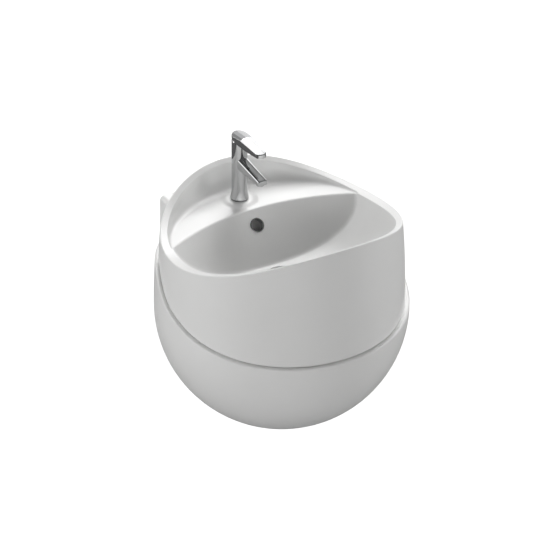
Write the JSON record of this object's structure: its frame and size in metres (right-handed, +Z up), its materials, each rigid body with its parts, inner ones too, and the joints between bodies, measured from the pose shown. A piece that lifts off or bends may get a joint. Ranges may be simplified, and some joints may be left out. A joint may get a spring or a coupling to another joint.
{
  "type": "wall hung basin",
  "caption": "Round wall hung washbasin with a swept saddle rim, a ball-shaped trap cover below it, a single lever mixer tap, a click waste and a bottle trap.",
  "frame": {"origin": "middle of the line between the two wall bolts, on the wall plane", "axes": "+X to the right along the wall, +Y into the wall, +Z up; the basin stands out along -Y"},
  "size_m": [0.56, 0.6116, 0.6185],
  "materials": {
    "ceramic": "gloss glaze",
    "chrome": "polished",
    "white_plastic": "satin",
    "grey_plastic": "matte",
    "clear_plastic": "matte",
    "rubber": "matte",
    "steel": "zinc plated",
    "brass": "machined"
  },
  "bodies": {
    "basin": {"basin_body": "ceramic", "trap_cover": "ceramic", "cover_brackets": "steel", "bracket_anchors": "steel", "cover_washers": "chrome", "cover_screws": "chrome", "seam_buffers": "clear_plastic", "wall_studs": "steel", "wall_bushes": "grey_plastic", "wall_washers": "steel", "wall_nuts": "steel", "overflow_ring": "chrome", "waste_seal": "rubber", "waste_body": "chrome", "plug_clicker": "brass", "waste_gasket": "rubber", "waste_locknut": "brass", "trap_inlet_nut": "white_plastic", "trap_inlet_seal": "rubber", "trap_down_pipe": "white_plastic", "trap_head_nut": "white_plastic", "trap_head_seal": "rubber", "trap_head": "white_plastic", "trap_cup_seal": "rubber", "trap_cup": "white_plastic", "trap_outlet_nut": "white_plastic", "trap_outlet_seal": "rubber", "trap_wall_pipe": "white_plastic", "wall_rosette": "chrome", "tap_body": "chrome", "tap_base_seal": "rubber", "tap_clamp_seal": "rubber", "tap_clamp_plate": "steel", "tap_stud": "steel", "tap_nut": "steel", "aerator_housing": "chrome", "aerator_insert": "grey_plastic", "cartridge": "grey_plastic", "cartridge_nut": "brass", "cartridge_dome": "chrome"},
    "lever_turn": {"spindle_carrier": "grey_plastic", "spindle_pin": "steel"},
    "lever": {"lever_spindle": "brass", "lever": "chrome", "lever_grub_screw": "steel", "lever_dot": "chrome"},
    "plug": {"plug_cap": "chrome", "plug_seal": "rubber"}
  },
  "joints": [
    {"name": "lever_swivel", "type": "hinge", "parent": "basin", "child": "lever_turn", "pos_m": [0, -0.1, 0.25], "axis": [0, 0, 1], "range_deg": [-45, 45]},
    {"name": "lever_lift", "type": "hinge", "parent": "lever_turn", "child": "lever", "pos_m": [0, -0.1, 0.25], "axis": [-1, 0, 0], "range_deg": [0, 22]},
    {"name": "plug_slide", "type": "slide", "parent": "basin", "child": "plug", "axis": [0, 0, 1], "range_m": [0, 0.008]}
  ]
}
